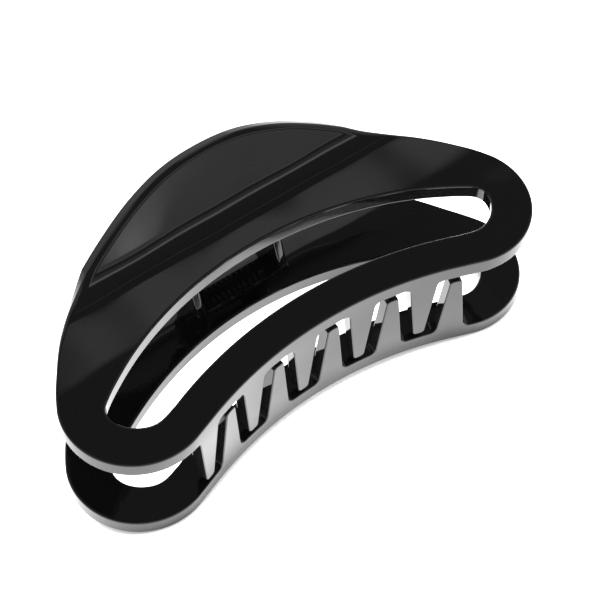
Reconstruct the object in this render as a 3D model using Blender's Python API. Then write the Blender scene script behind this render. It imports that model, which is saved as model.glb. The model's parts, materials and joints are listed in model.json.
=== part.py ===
"""Half-moon claw hair clip, closed, lying on its lower jaw.

Two glossy plastic jaws turn on a steel pin between them, and a torsion spring holds them shut. Each jaw
is a flat half-moon plate with a crescent slot, five teeth along its hollow front edge, and a wing at the
back that curls away from the other jaw. The lower jaw is the upper one turned over, with its teeth and
hinge lugs moved along so that the two interleave.

A jaw is drawn in its own frame, in millimetres. X runs along the clip and Y towards the wing, the flat
outer face is at Z = 0, and the other jaw lies below it. "Along" is the distance measured on the outer
face before the plate is bent.
"""

import math

import bmesh
import bpy
from mathutils import Matrix, Vector

MM = 0.001

# Plate
PLATE_THICKNESS = 3.7
EDGE_CHAMFER = 0.5
JAW_GAP = 17.9

# Front edge, a hollow arc between two round lobes
FRONT_EDGE_Y = -10.8
FRONT_EDGE_RADIUS = 83.0
FRONT_EDGE_HALF_ANGLE = math.radians(20.5)
LOBE_X = 38.3
LOBE_Y = -4.2
LOBE_RADIUS = 14.3
LOBE_END_ANGLE = math.radians(24.0)
FRONT_STEPS = 12
LOBE_STEPS = 14

# Side and wing, from the lobe to the middle of the wing's edge
SIDE_CURVE = (
    # x, along
    (47.9, 7.4),
    (40.9, 16.5),
    (32.9, 22.0),
    (25.1, 27.0),
    (17.1, 31.2),
    (8.7, 33.95),
    (0.0, 34.75),
)
SIDE_STEPS = 3

# Crescent slot
SLOT_FRONT_Y = -3.26
SLOT_FRONT_RADIUS = 88.0
SLOT_BACK_Y = 11.8
SLOT_BACK_RADIUS = 73.5
SLOT_FRONT_END_X = 33.0
SLOT_BACK_END_X = 38.5
SLOT_END_CURVE = (
    # x, y
    (37.6, -10.9),
    (41.0, -9.9),
    (43.4, -7.6),
    (44.3, -5.0),
    (43.7, -2.9),
    (41.6, -1.1),
)
SLOT_FRONT_STEPS = 9
SLOT_BACK_STEPS = 10
SLOT_END_STEPS = 2

# Bend of the plate: flat, a shallow valley, then a round turn up into the straight wing
VALLEY_START = 6.0
BEND_START = 16.5
VALLEY_DEPTH = 0.65
BEND_RADIUS = 7.0
BEND_ANGLE = math.radians(57.0)
BEND_FACETS = 9
VALLEY_FACETS = 4

# Teeth
TOOTH_COUNT = 5
TOOTH_PITCH = 13.3
TOOTH_ROOT_WIDTH = 5.6
TOOTH_TIP_WIDTH = 2.6
TOOTH_DEPTH = 2.8
TOOTH_LENGTH = 16.5
TOOTH_FILLET = 1.5
TOOTH_TIP_ROUND = 0.9
TOOTH_EDGE = 0.35
TOOTH_SET_BACK = 0.05
UPPER_TEETH_CENTRE = -4.15
LOWER_TEETH_CENTRE = -2.6
SUNK = 1.2

# Hinge
HINGE_Y = 21.5
PIN_RADIUS = 1.0
PIN_HEAD_RADIUS = 1.9
PIN_HEAD_LENGTH = 0.8
PIN_HEAD_CROWN = 0.7
PIN_SIDES = 14
BORE_RADIUS = 1.35
BORE_SIDES = 16
LUG_RADIUS = 3.2
LUG_THICKNESS = 2.1
LUG_ROUND_STEPS = 10
LUG_ROOT_STEPS = 3
LUG_FRONT_Y = 15.2
LUG_BACK_Y = 25.5
UPPER_LUG_X = 7.7
LOWER_LUG_X = 10.2
PAD_HALF_LENGTH = 11.2
PAD_BACK_Y = 20.0
PAD_HEIGHT = 0.8
PAD_EDGE = 0.4
RUNNING_GAP = 0.35

# Spring
WIRE_RADIUS = 0.5
COIL_RADIUS = 2.6
COIL_PITCH = 1.35
COIL_TURNS = 4
COIL_STEPS = 12
WIRE_SIDES = 6
LEG_ANGLE = math.radians(60.0)

PLASTIC_COLOUR = (0.006, 0.006, 0.007, 1.0)
STEEL_COLOUR = (0.09, 0.09, 0.095, 1.0)

MID_PLANE_Z = -PLATE_THICKNESS - JAW_GAP / 2
HINGE = Vector((0.0, HINGE_Y, MID_PLANE_Z))


def clear_scene():
    for old in list(bpy.data.objects):
        bpy.data.objects.remove(old, do_unlink=True)


def plain_material(name, colour, roughness, metallic):
    material = bpy.data.materials.new(name)
    material.use_nodes = True
    shader = material.node_tree.nodes["Principled BSDF"]
    shader.inputs["Base Color"].default_value = colour
    shader.inputs["Roughness"].default_value = roughness
    shader.inputs["Metallic"].default_value = metallic
    return material


def arc_y(x, top_y, radius):
    """Height of an arc that bulges towards +Y and has its top at x = 0."""
    return top_y - radius + math.sqrt(radius * radius - x * x)


def smooth_curve(points, steps):
    """Points on a smooth curve through all but the first and last of the given ones."""
    curve = []
    for before, start, end, after in zip(points, points[1:], points[2:], points[3:]):
        for step in range(steps):
            t = step / steps
            curve.append(tuple(
                0.5 * (2 * b + (c - a) * t + (2 * a - 5 * b + 4 * c - d) * t ** 2
                       + (3 * b - a - 3 * c + d) * t ** 3)
                for a, b, c, d in zip(before, start, end, after)
            ))
    return curve


def full_loop(half):
    """A closed loop from its right half, which runs from the front middle to the back middle."""
    return half + [(-x, y) for x, y in reversed(half[1:-1])]


def outline_loop():
    """The plate's outer edge, anticlockwise from the middle of the front edge."""
    half = []
    for step in range(FRONT_STEPS + 1):
        angle = FRONT_EDGE_HALF_ANGLE * step / FRONT_STEPS
        half.append((
            FRONT_EDGE_RADIUS * math.sin(angle),
            FRONT_EDGE_Y - FRONT_EDGE_RADIUS * (1 - math.cos(angle)),
        ))
    lobe = []
    start = -math.pi / 2 - FRONT_EDGE_HALF_ANGLE
    for step in range(LOBE_STEPS + 1):
        angle = start + (LOBE_END_ANGLE - start) * step / LOBE_STEPS
        lobe.append((LOBE_X + LOBE_RADIUS * math.cos(angle), LOBE_Y + LOBE_RADIUS * math.sin(angle)))
    mirrored = (-SIDE_CURVE[-2][0], SIDE_CURVE[-2][1])
    side = smooth_curve([lobe[-2], lobe[-1], *SIDE_CURVE, mirrored], SIDE_STEPS)
    half += lobe[:-1] + side + [SIDE_CURVE[-1]]
    return full_loop(half)


def slot_loop():
    """The slot's edge, anticlockwise from the middle of its front side."""
    front = []
    for step in range(SLOT_FRONT_STEPS + 1):
        x = SLOT_FRONT_END_X * step / SLOT_FRONT_STEPS
        front.append((x, arc_y(x, SLOT_FRONT_Y, SLOT_FRONT_RADIUS)))
    back = []
    for step in range(SLOT_BACK_STEPS + 1):
        x = SLOT_BACK_END_X * (1 - step / SLOT_BACK_STEPS)
        back.append((x, arc_y(x, SLOT_BACK_Y, SLOT_BACK_RADIUS)))
    end = smooth_curve([front[-2], front[-1], *SLOT_END_CURVE, back[0], back[1]], SLOT_END_STEPS)
    return full_loop(front[:-1] + end + back)


def inset(loop, distance):
    """Moves each point of an anticlockwise loop towards the loop's inside."""
    moved = []
    for before, here, after in zip([loop[-1]] + loop[:-1], loop, loop[1:] + [loop[0]]):
        along = Vector(after) - Vector(before)
        along.normalize()
        moved.append((here[0] - along.y * distance, here[1] + along.x * distance))
    return moved


def bend(along):
    """Place and slope of the plate's outer face at a distance along it."""
    if along < VALLEY_START:
        return along, 0.0, 0.0
    if along < BEND_START:
        phase = math.pi * (along - VALLEY_START) / (BEND_START - VALLEY_START)
        slope = -VALLEY_DEPTH * math.pi / (2 * (BEND_START - VALLEY_START)) * math.sin(phase)
        return along, -VALLEY_DEPTH * (1 - math.cos(phase)) / 2, math.atan(slope)
    turn = min((along - BEND_START) / BEND_RADIUS, BEND_ANGLE)
    straight = along - BEND_START - BEND_RADIUS * turn
    y = BEND_START + BEND_RADIUS * math.sin(turn) + straight * math.cos(turn)
    z = -VALLEY_DEPTH + BEND_RADIUS * (1 - math.cos(turn)) + straight * math.sin(turn)
    return y, z, turn


def bent(point):
    """A point of the flat plate, moved to where it is on the bent one."""
    y, z, slope = bend(point.y)
    return Vector((point.x, y - point.z * math.sin(slope), z + point.z * math.cos(slope)))


def ring(bm, loop, z):
    return [bm.verts.new((x, y, z)) for x, y in loop]


def bridge(bm, first, second):
    """Walls between two rings with the same number of points."""
    count = len(first)
    for i in range(count):
        j = (i + 1) % count
        bm.faces.new((first[i], first[j], second[j], second[i]))


def ring_edges(bm, verts):
    return [bm.edges.get((a, b)) for a, b in zip(verts, verts[1:] + verts[:1])]


def plate_mesh():
    """The bent plate with its slot, with chamfered edges."""
    bm = bmesh.new()
    levels = (
        # inset, z
        (EDGE_CHAMFER, 0.0),
        (0.0, -EDGE_CHAMFER),
        (0.0, EDGE_CHAMFER - PLATE_THICKNESS),
        (EDGE_CHAMFER, -PLATE_THICKNESS),
    )
    outline = outline_loop()
    slot = slot_loop()
    outer = [ring(bm, inset(outline, distance), z) for distance, z in levels]
    inner = [ring(bm, inset(slot, -distance), z) for distance, z in levels]
    for rings in (outer, inner):
        for first, second in zip(rings, rings[1:]):
            bridge(bm, first, second)
    for level in (0, -1):
        edges = ring_edges(bm, outer[level]) + ring_edges(bm, inner[level])
        bmesh.ops.triangle_fill(bm, use_beauty=True, edges=edges)

    cuts = [VALLEY_START + (BEND_START - VALLEY_START) * i / VALLEY_FACETS for i in range(VALLEY_FACETS)]
    cuts += [BEND_START + BEND_RADIUS * BEND_ANGLE * i / BEND_FACETS for i in range(BEND_FACETS + 1)]
    for cut in cuts:
        bmesh.ops.bisect_plane(
            bm, geom=bm.verts[:] + bm.edges[:] + bm.faces[:],
            plane_co=(0.0, cut, 0.0), plane_no=(0.0, 1.0, 0.0), dist=0.02,
        )
    for vert in bm.verts:
        vert.co = bent(vert.co)
    bmesh.ops.recalc_face_normals(bm, faces=bm.faces[:])
    return bm


def tooth_section(bm, centre, half_width, front, back, z):
    """One level of a tooth: a rectangle with cut corners whose front follows the plate's edge."""
    edge = min(TOOTH_EDGE, half_width / 2)
    corners = (
        # x, set back from the front wall
        (-half_width, front + edge),
        (-half_width + edge, front),
        (0.0, front),
        (half_width - edge, front),
        (half_width, front + edge),
        (half_width, back - edge),
        (half_width - edge, back),
        (-half_width + edge, back),
        (-half_width, back - edge),
    )
    tilt = math.asin(centre / FRONT_EDGE_RADIUS)
    verts = []
    for x, depth in corners:
        angle = tilt + x / FRONT_EDGE_RADIUS
        radius = FRONT_EDGE_RADIUS + depth
        verts.append(bm.verts.new((
            radius * math.sin(angle),
            FRONT_EDGE_Y - FRONT_EDGE_RADIUS + radius * math.cos(angle),
            z,
        )))
    return verts


def tooth_levels():
    """Half width, front, back and depth below the inner face, from the root to the tip."""
    root = TOOTH_ROOT_WIDTH / 2
    tip = TOOTH_TIP_WIDTH / 2
    levels = [(root + TOOTH_FILLET, TOOTH_SET_BACK, TOOTH_DEPTH, -SUNK)]
    for angle in (0.0, 25.0, 50.0, 90.0):
        turn = math.radians(angle)
        flare = TOOTH_FILLET * (1 - math.sin(turn))
        drop = TOOTH_FILLET * (1 - math.cos(turn))
        levels.append((root + flare, TOOTH_SET_BACK, TOOTH_DEPTH, drop))
    for angle in (0.0, 45.0, 80.0):
        turn = math.radians(angle)
        pull = TOOTH_TIP_ROUND * (1 - math.cos(turn))
        drop = TOOTH_LENGTH - TOOTH_TIP_ROUND * (1 - math.sin(turn))
        levels.append((tip - pull, TOOTH_SET_BACK + pull, TOOTH_DEPTH - pull, drop))
    return levels


def teeth_mesh(centre):
    """Five tapered teeth that hang from the inner face, flush with the front wall."""
    bm = bmesh.new()
    for i in range(TOOTH_COUNT):
        x = centre + TOOTH_PITCH * (i - (TOOTH_COUNT - 1) / 2)
        sections = [
            tooth_section(bm, x, half_width, front, back, -PLATE_THICKNESS - drop)
            for half_width, front, back, drop in tooth_levels()
        ]
        for first, second in zip(sections, sections[1:]):
            bridge(bm, first, second)
        bm.faces.new(sections[0])
        bm.faces.new(sections[-1])
    bmesh.ops.recalc_face_normals(bm, faces=bm.faces[:])
    return bm


def prism(bm, outline, low_x, high_x):
    """A solid with one outline in Y and Z from low_x to high_x."""
    left = [bm.verts.new((low_x, y, z)) for y, z in outline]
    right = [bm.verts.new((high_x, y, z)) for y, z in outline]
    bridge(bm, left, right)
    bm.faces.new(left)
    bm.faces.new(right)


def lugs_mesh(lug_x):
    """Two hinge lugs, round at the pin and wide where they grow from the plate."""
    front = Vector((LUG_FRONT_Y, -PLATE_THICKNESS)) - Vector(HINGE.yz)
    back = Vector((LUG_BACK_Y, -PLATE_THICKNESS)) - Vector(HINGE.yz)
    front_tangent = math.atan2(front.y, front.x) + math.acos(LUG_RADIUS / front.length)
    back_tangent = math.atan2(back.y, back.x) - math.acos(LUG_RADIUS / back.length)
    root = [
        bent(Vector((
            0.0, LUG_FRONT_Y + (LUG_BACK_Y - LUG_FRONT_Y) * step / LUG_ROOT_STEPS, SUNK - PLATE_THICKNESS,
        )))
        for step in range(LUG_ROOT_STEPS, -1, -1)
    ]
    outline = [(point.y, point.z) for point in root] + [(LUG_FRONT_Y, -PLATE_THICKNESS)]
    sweep = (back_tangent - front_tangent) % (2 * math.pi)
    for step in range(LUG_ROUND_STEPS + 1):
        angle = front_tangent + sweep * step / LUG_ROUND_STEPS
        outline.append((
            HINGE.y + LUG_RADIUS * math.cos(angle),
            HINGE.z + LUG_RADIUS * math.sin(angle),
        ))
    bm = bmesh.new()
    for side in (-1, 1):
        prism(bm, outline, side * lug_x - LUG_THICKNESS / 2, side * lug_x + LUG_THICKNESS / 2)
    bmesh.ops.recalc_face_normals(bm, faces=bm.faces[:])
    return bm


def pad_mesh():
    """The low rib that joins the lugs on the inner face."""
    low_z = -PLATE_THICKNESS - VALLEY_DEPTH - PAD_HEIGHT
    high_z = -PLATE_THICKNESS + SUNK
    outline = (
        (LUG_FRONT_Y - PAD_EDGE, high_z),
        (LUG_FRONT_Y - PAD_EDGE, low_z + PAD_EDGE),
        (LUG_FRONT_Y, low_z),
        (PAD_BACK_Y, low_z),
        (PAD_BACK_Y, high_z),
    )
    bm = bmesh.new()
    prism(bm, outline, -PAD_HALF_LENGTH, PAD_HALF_LENGTH)
    bmesh.ops.recalc_face_normals(bm, faces=bm.faces[:])
    return bm


def bore_mesh():
    """The cutter for the pin's holes in the lugs."""
    bm = bmesh.new()
    bmesh.ops.create_cone(
        bm, cap_ends=True, segments=BORE_SIDES, radius1=BORE_RADIUS, radius2=BORE_RADIUS,
        depth=2 * (PAD_HALF_LENGTH + SUNK),
        matrix=Matrix.Translation(HINGE) @ Matrix.Rotation(math.pi / 2, 4, "Y"),
    )
    return bm


def pin_mesh():
    """The hinge pin with a low round head at each end."""
    shoulder = LOWER_LUG_X + LUG_THICKNESS / 2 + RUNNING_GAP
    profile = (
        # x, radius
        (-shoulder - PIN_HEAD_LENGTH, PIN_HEAD_RADIUS * PIN_HEAD_CROWN),
        (-shoulder - PIN_HEAD_LENGTH / 2, PIN_HEAD_RADIUS),
        (-shoulder, PIN_HEAD_RADIUS),
        (-shoulder, PIN_RADIUS),
        (shoulder, PIN_RADIUS),
        (shoulder, PIN_HEAD_RADIUS),
        (shoulder + PIN_HEAD_LENGTH / 2, PIN_HEAD_RADIUS),
        (shoulder + PIN_HEAD_LENGTH, PIN_HEAD_RADIUS * PIN_HEAD_CROWN),
    )
    bm = bmesh.new()
    rings = []
    for x, radius in profile:
        rings.append([
            bm.verts.new((
                x,
                HINGE.y + radius * math.cos(2 * math.pi * i / PIN_SIDES),
                HINGE.z + radius * math.sin(2 * math.pi * i / PIN_SIDES),
            ))
            for i in range(PIN_SIDES)
        ])
    for first, second in zip(rings, rings[1:]):
        bridge(bm, first, second)
    bm.faces.new(rings[0])
    bm.faces.new(rings[-1])
    bmesh.ops.recalc_face_normals(bm, faces=bm.faces[:])
    return bm


def leg_length(start, along):
    """How far a leg reaches before it lies under the inner face of the bend."""
    centre = Vector((start.x, BEND_START, BEND_RADIUS - VALLEY_DEPTH))
    reach = BEND_RADIUS + PLATE_THICKNESS + WIRE_RADIUS + RUNNING_GAP
    middle = (centre - start).dot(along)
    return middle - math.sqrt(reach ** 2 - (start - centre).length_squared + middle ** 2)


def spring_route():
    """Centre line of half the spring: its leg under the wing, then its turns along the pin."""
    outer_x = COIL_PITCH * (COIL_TURNS + 0.5)
    radial = Vector((0.0, math.cos(LEG_ANGLE + math.pi / 2), math.sin(LEG_ANGLE + math.pi / 2)))
    along = Vector((0.0, math.cos(LEG_ANGLE), math.sin(LEG_ANGLE)))
    start = HINGE + Vector((outer_x, 0.0, 0.0)) + radial * COIL_RADIUS
    route = [start + along * leg_length(start, along)]
    for step in range(COIL_TURNS * COIL_STEPS + 1):
        turn = step / COIL_STEPS
        angle = LEG_ANGLE + math.pi / 2 + 2 * math.pi * turn
        route.append(HINGE + Vector((
            outer_x - COIL_PITCH * turn,
            COIL_RADIUS * math.cos(angle),
            COIL_RADIUS * math.sin(angle),
        )))
    return route


def wire_mesh(route):
    """A round wire along a route of points."""
    bm = bmesh.new()
    rings = []
    for i, point in enumerate(route):
        before = route[max(i - 1, 0)]
        after = route[min(i + 1, len(route) - 1)]
        along = (after - before).normalized()
        side = along.cross(Vector((1.0, 0.0, 0.0))).normalized()
        up = along.cross(side)
        rings.append([
            bm.verts.new(
                point + WIRE_RADIUS * (side * math.cos(2 * math.pi * k / WIRE_SIDES)
                                       + up * math.sin(2 * math.pi * k / WIRE_SIDES))
            )
            for k in range(WIRE_SIDES)
        ])
    for first, second in zip(rings, rings[1:]):
        bridge(bm, first, second)
    bm.faces.new(rings[0])
    bm.faces.new(rings[-1])
    bmesh.ops.recalc_face_normals(bm, faces=bm.faces[:])
    return bm


def make_object(name, bm, material):
    """An object from a mesh drawn in the jaw's frame, with its origin on the hinge line."""
    bmesh.ops.transform(bm, matrix=Matrix.Scale(MM, 4) @ Matrix.Translation(-HINGE), verts=bm.verts[:])
    mesh = bpy.data.meshes.new(name)
    bm.to_mesh(mesh)
    bm.free()
    mesh.shade_smooth()
    mesh.set_sharp_from_angle(angle=math.radians(30))
    if material:
        mesh.materials.append(material)
    item = bpy.data.objects.new(name, mesh)
    bpy.context.scene.collection.objects.link(item)
    return item


def helper_object(name, bm):
    """A body that only shapes another one."""
    item = make_object(name, bm, None)
    item.hide_render = True
    item.display_type = "WIRE"
    return item


def shape_with(item, helper, operation):
    modifier = item.modifiers.new(helper.name, "BOOLEAN")
    modifier.operation = operation
    modifier.solver = "EXACT"
    modifier.object = helper


def make_jaw(name, teeth_centre, lug_x, material):
    jaw = make_object(name, plate_mesh(), material)
    bodies = (
        (helper_object(name + "_teeth_shape", teeth_mesh(teeth_centre)), "UNION"),
        (helper_object(name + "_pad_shape", pad_mesh()), "UNION"),
        (helper_object(name + "_lugs_shape", lugs_mesh(lug_x)), "UNION"),
        (helper_object(name + "_bore_shape", bore_mesh()), "DIFFERENCE"),
    )
    for helper, operation in bodies:
        shape_with(jaw, helper, operation)
    return [jaw] + [helper for helper, _ in bodies]


def tilted(point, tilt):
    return Matrix.Rotation(tilt, 3, "X") @ point


def rest_tilt(lower_points):
    """The angle about X that puts the lower jaw's lobes and the edge of its wing on one level."""
    front = [point for point in lower_points if point.y < 0]
    back = [point for point in lower_points if point.y >= 0]
    low, high = 0.0, math.radians(30)
    for _ in range(40):
        middle = (low + high) / 2
        front_z = min(tilted(point, middle).z for point in front)
        back_z = min(tilted(point, middle).z for point in back)
        if front_z > back_z:
            low = middle
        else:
            high = middle
    return (low + high) / 2


def lay_down(hinge_line, plate_points):
    """Tilts the clip to its rest pose and puts the middle of its base at the origin."""
    turned = [Vector((-point.x, point.y, -point.z)) for point in plate_points]
    tilt = rest_tilt(turned)
    placed = [tilted(point, tilt) for point in list(plate_points) + turned]
    low_y = min(point.y for point in placed)
    high_y = max(point.y for point in placed)
    hinge_line.location = (0.0, -(low_y + high_y) / 2, -min(point.z for point in placed))
    hinge_line.rotation_euler = (tilt, 0.0, 0.0)


def build():
    clear_scene()
    plastic = plain_material("black_plastic", PLASTIC_COLOUR, 0.08, 0.0)
    steel = plain_material("spring_steel", STEEL_COLOUR, 0.28, 1.0)

    hinge_line = bpy.data.objects.new("hinge_line", None)
    bpy.context.scene.collection.objects.link(hinge_line)

    upper = make_jaw("upper_jaw", UPPER_TEETH_CENTRE, UPPER_LUG_X, plastic)
    upper.append(make_object("spring_upper", wire_mesh(spring_route()), steel))
    lower = make_jaw("lower_jaw", LOWER_TEETH_CENTRE, LOWER_LUG_X, plastic)
    lower.append(make_object("spring_lower", wire_mesh(spring_route()), steel))
    lower.append(make_object("hinge_pin", pin_mesh(), steel))

    for item in upper + lower:
        item.parent = hinge_line
    for item in lower:
        item.rotation_euler = (0.0, math.pi, 0.0)
    lay_down(hinge_line, [vert.co for vert in upper[0].data.vertices])


build()
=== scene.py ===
import json
import math

import bmesh
import bpy
from mathutils import Matrix, Vector
from mathutils.kdtree import KDTree


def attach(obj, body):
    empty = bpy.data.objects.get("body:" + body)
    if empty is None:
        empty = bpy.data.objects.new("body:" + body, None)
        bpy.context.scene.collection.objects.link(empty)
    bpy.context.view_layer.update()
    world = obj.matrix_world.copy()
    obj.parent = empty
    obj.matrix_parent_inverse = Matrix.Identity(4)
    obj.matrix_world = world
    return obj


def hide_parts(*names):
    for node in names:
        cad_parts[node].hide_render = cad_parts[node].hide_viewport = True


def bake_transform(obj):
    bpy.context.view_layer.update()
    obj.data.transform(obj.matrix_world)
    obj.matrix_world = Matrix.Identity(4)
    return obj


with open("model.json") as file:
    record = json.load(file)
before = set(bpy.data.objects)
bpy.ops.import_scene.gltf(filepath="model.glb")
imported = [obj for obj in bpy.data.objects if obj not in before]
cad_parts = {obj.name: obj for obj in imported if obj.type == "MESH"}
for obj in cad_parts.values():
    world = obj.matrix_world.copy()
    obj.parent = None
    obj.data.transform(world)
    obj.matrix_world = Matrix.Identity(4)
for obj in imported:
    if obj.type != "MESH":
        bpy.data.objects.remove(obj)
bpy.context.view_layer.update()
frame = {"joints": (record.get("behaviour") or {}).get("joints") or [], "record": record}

# All sizes of the clip are in millimetres, in a jaw's own frame: X along the clip, Y towards the wing,
# the flat outer face at Z = 0 and the other jaw below it. Light, floor and finishes are in metres.
MM = 0.001

# Distances that count as none: between two points, from a point to a face, and at a cut
TINY = 0.001
ON_FACE = 0.01
AT_CUT = 0.005

# Angles up to which faces are shaded as one surface, and up to which a face belongs to the plate's
SMOOTH_COSINE = math.cos(math.radians(42))
SAME_FACE_COSINE = math.cos(math.radians(3))
PIN_SHARP_ANGLE = math.radians(35)
WIRE_SHARP_ANGLE = math.radians(50)

# Plate
PLATE_THICKNESS = 3.7
JAW_GAP = 17.9
EDGE_ROUND = 0.5
WING_EDGE_ROUND = 1.3
WING_ROUND_START = 10.0
WING_ROUND_FULL = 20.0
COMB_EDGE_ROUND = 0.3
ROUND_STEPS = 5

# Front edge, a hollow arc between two round lobes
FRONT_EDGE_Y = -10.8
FRONT_EDGE_RADIUS = 83.0
FRONT_EDGE_HALF_ANGLE = math.radians(20.5)
FRONT_ARC = FRONT_EDGE_RADIUS * FRONT_EDGE_HALF_ANGLE
LOBE_X = 38.3
LOBE_Y = -4.2
LOBE_RADIUS = 14.3
LOBE_START_ANGLE = -math.pi / 2 - FRONT_EDGE_HALF_ANGLE
LOBE_END_ANGLE = math.radians(24.0)
LOBE_CURVE_STEP = math.radians(9.6)
LOBE_STEPS = 44

# Side and wing, from the lobe to the middle of the wing's edge
SIDE_CURVE = (
    # x, along
    (47.9, 7.4),
    (40.9, 16.5),
    (32.9, 22.0),
    (25.1, 27.0),
    (17.1, 31.2),
    (8.7, 33.95),
    (0.0, 34.75),
)
SIDE_STEPS = 12

# Crescent slot
SLOT_FRONT_Y = -3.26
SLOT_FRONT_RADIUS = 88.0
SLOT_BACK_Y = 11.8
SLOT_BACK_RADIUS = 73.5
SLOT_FRONT_END_X = 33.0
SLOT_BACK_END_X = 38.5
SLOT_END_CURVE = (
    # x, y
    (37.6, -10.9),
    (41.0, -9.9),
    (43.4, -7.6),
    (44.3, -5.0),
    (43.7, -2.9),
    (41.6, -1.1),
)
SLOT_SIDE_STEPS = 36
SLOT_END_STEPS = 8
SLOT_END_LEAD = 4

# Bend of the plate: flat, a shallow valley, then a round turn up into the straight wing
VALLEY_START = 3.0
BEND_START = 16.5
VALLEY_DEPTH = 0.7
BEND_RADIUS = 7.0
BEND_ANGLE = math.radians(57.0)
BEND_FACETS = 54
VALLEY_FACETS = 22
UNBEND_ROUNDS = 12
UNBEND_LEAST = 0.3

# Teeth
TOOTH_COUNT = 5
TOOTH_PITCH = 13.3
TOOTH_ROOT_HALF = 2.96
TOOTH_TIP_HALF = 1.2
TOOTH_DEPTH = 2.8
TOOTH_LENGTH = 16.5
TOOTH_FILLET = 1.5
TOOTH_TIP_ROUND = 0.9
COMB_REACH = 35.8
CORNER_STEPS = 9
FRONT_STEP = 0.8
UPPER_TEETH_CENTRE = -4.15
LOWER_TEETH_CENTRE = -2.6
BAND_DEPTH = 0.1
BAND_TOP = 2.15
BAND_BLEND = 0.1
BAND_END_BLEND = 0.5
WALL_HEIGHTS = (-BAND_TOP + BAND_BLEND, -BAND_TOP, -BAND_TOP - BAND_BLEND)

# Hinge
HINGE_Y = 21.5
PIN_RADIUS = 1.0
PIN_HEAD_RADIUS = 1.9
PIN_HEAD_LENGTH = 0.8
PIN_HEAD_RIM = 0.25
PIN_HEAD_CHAMFER = 0.1
PIN_DOME_STEPS = 8
PIN_DOME_TIP_SHARE = 0.08
PIN_SIDES = 40
BORE_RADIUS = 1.35
LUG_RADIUS = 3.2
LUG_THICKNESS = 2.1
LUG_ROUND_STEPS = 28
LUG_ROOT_STEPS = 8
LUG_EDGE_ROUND = 0.7
PAD_EDGE_ROUND = 0.3
LUG_FRONT_Y = 15.2
LUG_BACK_Y = 25.5
UPPER_LUG_X = 7.7
LOWER_LUG_X = 10.2
PAD_HALF_LENGTH = 11.2
PAD_BACK_Y = 20.0
PAD_HEIGHT = 0.8
RUNNING_GAP = 0.35
SUNK = 1.2

# Spring
WIRE_RADIUS = 0.5
COIL_RADIUS = 2.6
COIL_HALF_LENGTH = 6.075
COIL_HALF_TURNS = 4 + 7 / 12
COIL_STEPS = 40
LEG_STEPS = 6
WIRE_SIDES = 14
WIRE_PATTERN_LENGTH = 10
LEG_ANGLE = math.radians(60.0)

MID_PLANE_Z = -PLATE_THICKNESS - JAW_GAP / 2
HINGE = Vector((0.0, HINGE_Y, MID_PLANE_Z))

# Camera, given in the upper jaw's frame
CAMERA_AZIMUTH = math.radians(-38.37)
CAMERA_ELEVATION = math.radians(55.27)
CAMERA_ROLL = math.radians(2.2875)
CAMERA_DISTANCE = 368.4
CAMERA_TARGET = Vector((-0.873, -4.342, 0.0))
CAMERA_LENS = 117.0
CAMERA_SENSOR = 36.0
CAMERA_NEAREST = 10.0 * MM


def clip_matrix():
    """From the upper jaw's frame in millimetres to the place where the clip lies, in metres."""
    record = frame["record"]
    face = next(mount for mount in record["mounts"] if mount["name"] == "front_band_top")
    tilt = math.atan2(-face["axis"][1], face["axis"][2])
    hinge_line = Vector(frame["joints"][0]["pos_m"])
    return (
        Matrix.Translation(hinge_line) @ Matrix.Rotation(tilt, 4, "X")
        @ Matrix.Scale(MM, 4) @ Matrix.Translation(-HINGE)
    )


CLIP = clip_matrix()
TURNED_OVER = Matrix.Translation(HINGE) @ Matrix.Rotation(math.pi, 4, "Y") @ Matrix.Translation(-HINGE)


# Outlines

def arc_y(x, top_y, radius):
    """Y of an arc that bulges towards +Y and has its top at x = 0."""
    return top_y - radius + math.sqrt(radius * radius - x * x)


def smooth_curve(points, steps):
    """Points on a smooth curve through all but the first and last of the given ones."""
    curve = []
    for before, start, end, after in zip(points, points[1:], points[2:], points[3:]):
        for step in range(steps):
            t = step / steps
            curve.append(tuple(
                0.5 * (2 * b + (c - a) * t + (2 * a - 5 * b + 4 * c - d) * t ** 2
                       + (3 * b - a - 3 * c + d) * t ** 3)
                for a, b, c, d in zip(before, start, end, after)
            ))
    return curve


def lobe_point(angle):
    return LOBE_X + LOBE_RADIUS * math.cos(angle), LOBE_Y + LOBE_RADIUS * math.sin(angle)


def wall_frame(u):
    """A point of the front wall by its distance from the middle, with the ways along and behind it."""
    angle = min(abs(u) / FRONT_EDGE_RADIUS, FRONT_EDGE_HALF_ANGLE)
    s, c = math.sin(angle), math.cos(angle)
    place = Vector((FRONT_EDGE_RADIUS * s, FRONT_EDGE_Y - FRONT_EDGE_RADIUS * (1 - c)))
    along = Vector((c, -s))
    left = abs(u) - FRONT_ARC
    if left > 0:
        straight = Vector(lobe_point(LOBE_START_ANGLE)) - place
        turn = max(0.0, left - straight.length) / LOBE_RADIUS
        along = straight.normalized()
        place += along * min(left, straight.length)
        if turn > 0:
            place = Vector(lobe_point(LOBE_START_ANGLE + turn))
            along = Vector((-math.sin(LOBE_START_ANGLE + turn), math.cos(LOBE_START_ANGLE + turn)))
    behind = Vector((-along.y, along.x))
    if u < 0:
        return Vector((-place.x, place.y)), Vector((along.x, -along.y)), Vector((-behind.x, behind.y))
    return place, along, behind


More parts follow.
